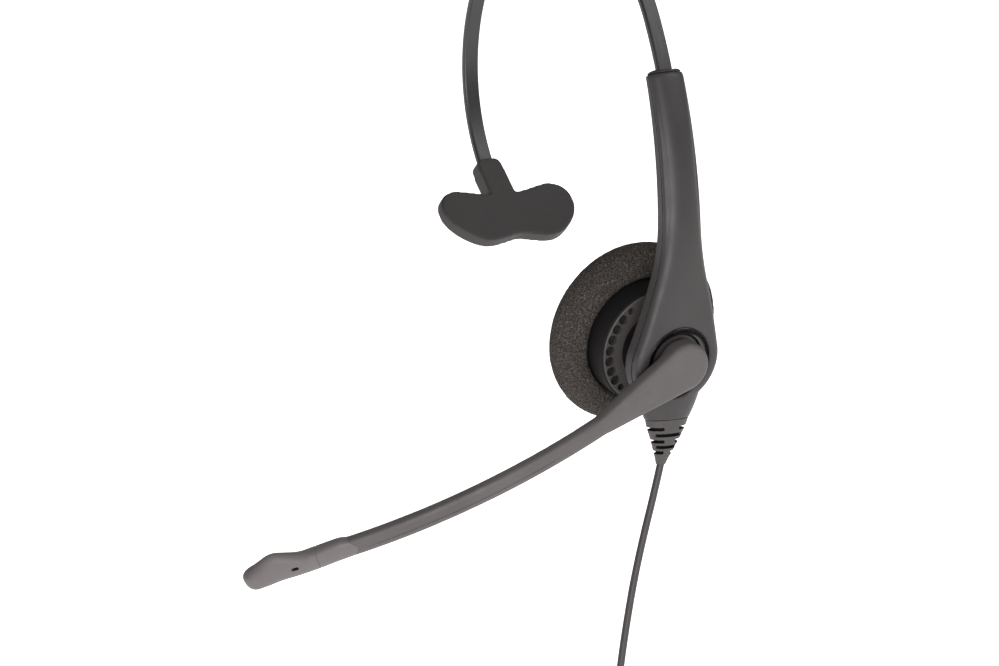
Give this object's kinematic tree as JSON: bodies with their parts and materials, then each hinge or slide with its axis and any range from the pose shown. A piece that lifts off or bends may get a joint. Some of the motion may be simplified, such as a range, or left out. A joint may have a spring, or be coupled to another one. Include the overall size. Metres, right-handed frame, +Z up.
{
  "type": "office headset",
  "caption": "Wired one-ear office headset with a thin headband, sliding arm, tilting foam ear cushion, T-shaped rest pad, swinging microphone boom, and a tied lead with a plug.",
  "frame": {"origin": "centre of the ear cushion, where the wearer's left ear rests", "axes": "+Z up along the worn head, the wearer faces -Y, and +X points away from the head at the ear with the speaker"},
  "size_m": [0.1095, 0.1307, 0.2504],
  "materials": {
    "band_black": "satin moulded",
    "shell_black": "fine moulded texture",
    "pad_rubber": "soft matte",
    "spring_steel": "bright",
    "screw_steel": "bright",
    "gloss_black": "polished",
    "boot_rubber": "soft matte",
    "cord_jacket": "satin",
    "tie_plastic": "soft",
    "contact_metal": "plated",
    "insulator": "plain",
    "gimbal_plastic": "plain",
    "housing_black": "satin",
    "acoustic_cloth": "fine woven",
    "vent_grey": "satin",
    "driver_metal": "plain",
    "diaphragm_film": "clear film",
    "foam": "open-cell foam",
    "boom_grey": "satin soft-touch",
    "gasket_rubber": "matte"
  },
  "bodies": {
    "headband": {"headband_cover": "band_black", "headband_spring": "spring_steel", "band_end_stop": "shell_black", "tbar_frame": "shell_black", "tbar_pad": "pad_rubber"},
    "arm": {"arm_outer_cover": "shell_black", "arm_inner_cover": "shell_black", "arm_top_bezel": "shell_black", "friction_clip": "spring_steel", "arm_screws": "screw_steel", "pivot_trim_ring": "gloss_black", "strain_relief": "boot_rubber", "cord_stub": "cord_jacket", "cord_anchor": "shell_black", "cord_lead": "cord_jacket", "cord_hank": "cord_jacket", "cord_tie": "tie_plastic", "cord_tail": "cord_jacket", "plug_boot": "boot_rubber", "plug_body": "boot_rubber", "plug_sleeve": "contact_metal", "plug_ring_1": "contact_metal", "plug_ring_2": "contact_metal", "plug_tip": "contact_metal", "plug_insulators": "insulator"},
    "gimbal": {"gimbal_cross": "gimbal_plastic"},
    "speaker": {"speaker_rear_housing": "housing_black", "vent_cloth": "acoustic_cloth", "vent_plate": "vent_grey", "driver_basket": "driver_metal", "driver_magnet": "driver_metal", "driver_diaphragm": "diaphragm_film", "speaker_grille": "housing_black", "cushion_ring": "housing_black", "ear_cushion": "foam"},
    "boom": {"boom_arm": "boom_grey", "boom_wire": "cord_jacket", "pivot_wave_washer": "spring_steel", "pivot_retainer": "screw_steel", "pivot_screw": "screw_steel", "boom_end_collar": "boom_grey", "mic_cover_outer": "boom_grey", "mic_cover_inner": "boom_grey", "mic_gasket": "gasket_rubber", "mic_element": "driver_metal"}
  },
  "joints": [
    {"name": "size_slide", "type": "hinge", "parent": "headband", "child": "arm", "pos_m": [-0.104, 0, 0.0247], "axis": [0, 1, 0], "range_deg": [0, 12]},
    {"name": "speaker_swivel", "type": "hinge", "parent": "arm", "child": "gimbal", "pos_m": [0.01382, 0, -0.00328], "axis": [0.2311, 0, 0.9729], "range_deg": [-12, 12]},
    {"name": "speaker_tilt", "type": "hinge", "parent": "gimbal", "child": "speaker", "pos_m": [0.01382, 0, -0.00328], "axis": [0, 1, 0], "range_deg": [-12, 12]},
    {"name": "boom_swing", "type": "hinge", "parent": "arm", "child": "boom", "pos_m": [0.02539, 0, -0.00603], "axis": [0.9729, 0, -0.2311], "range_deg": [-254, 12]}
  ]
}
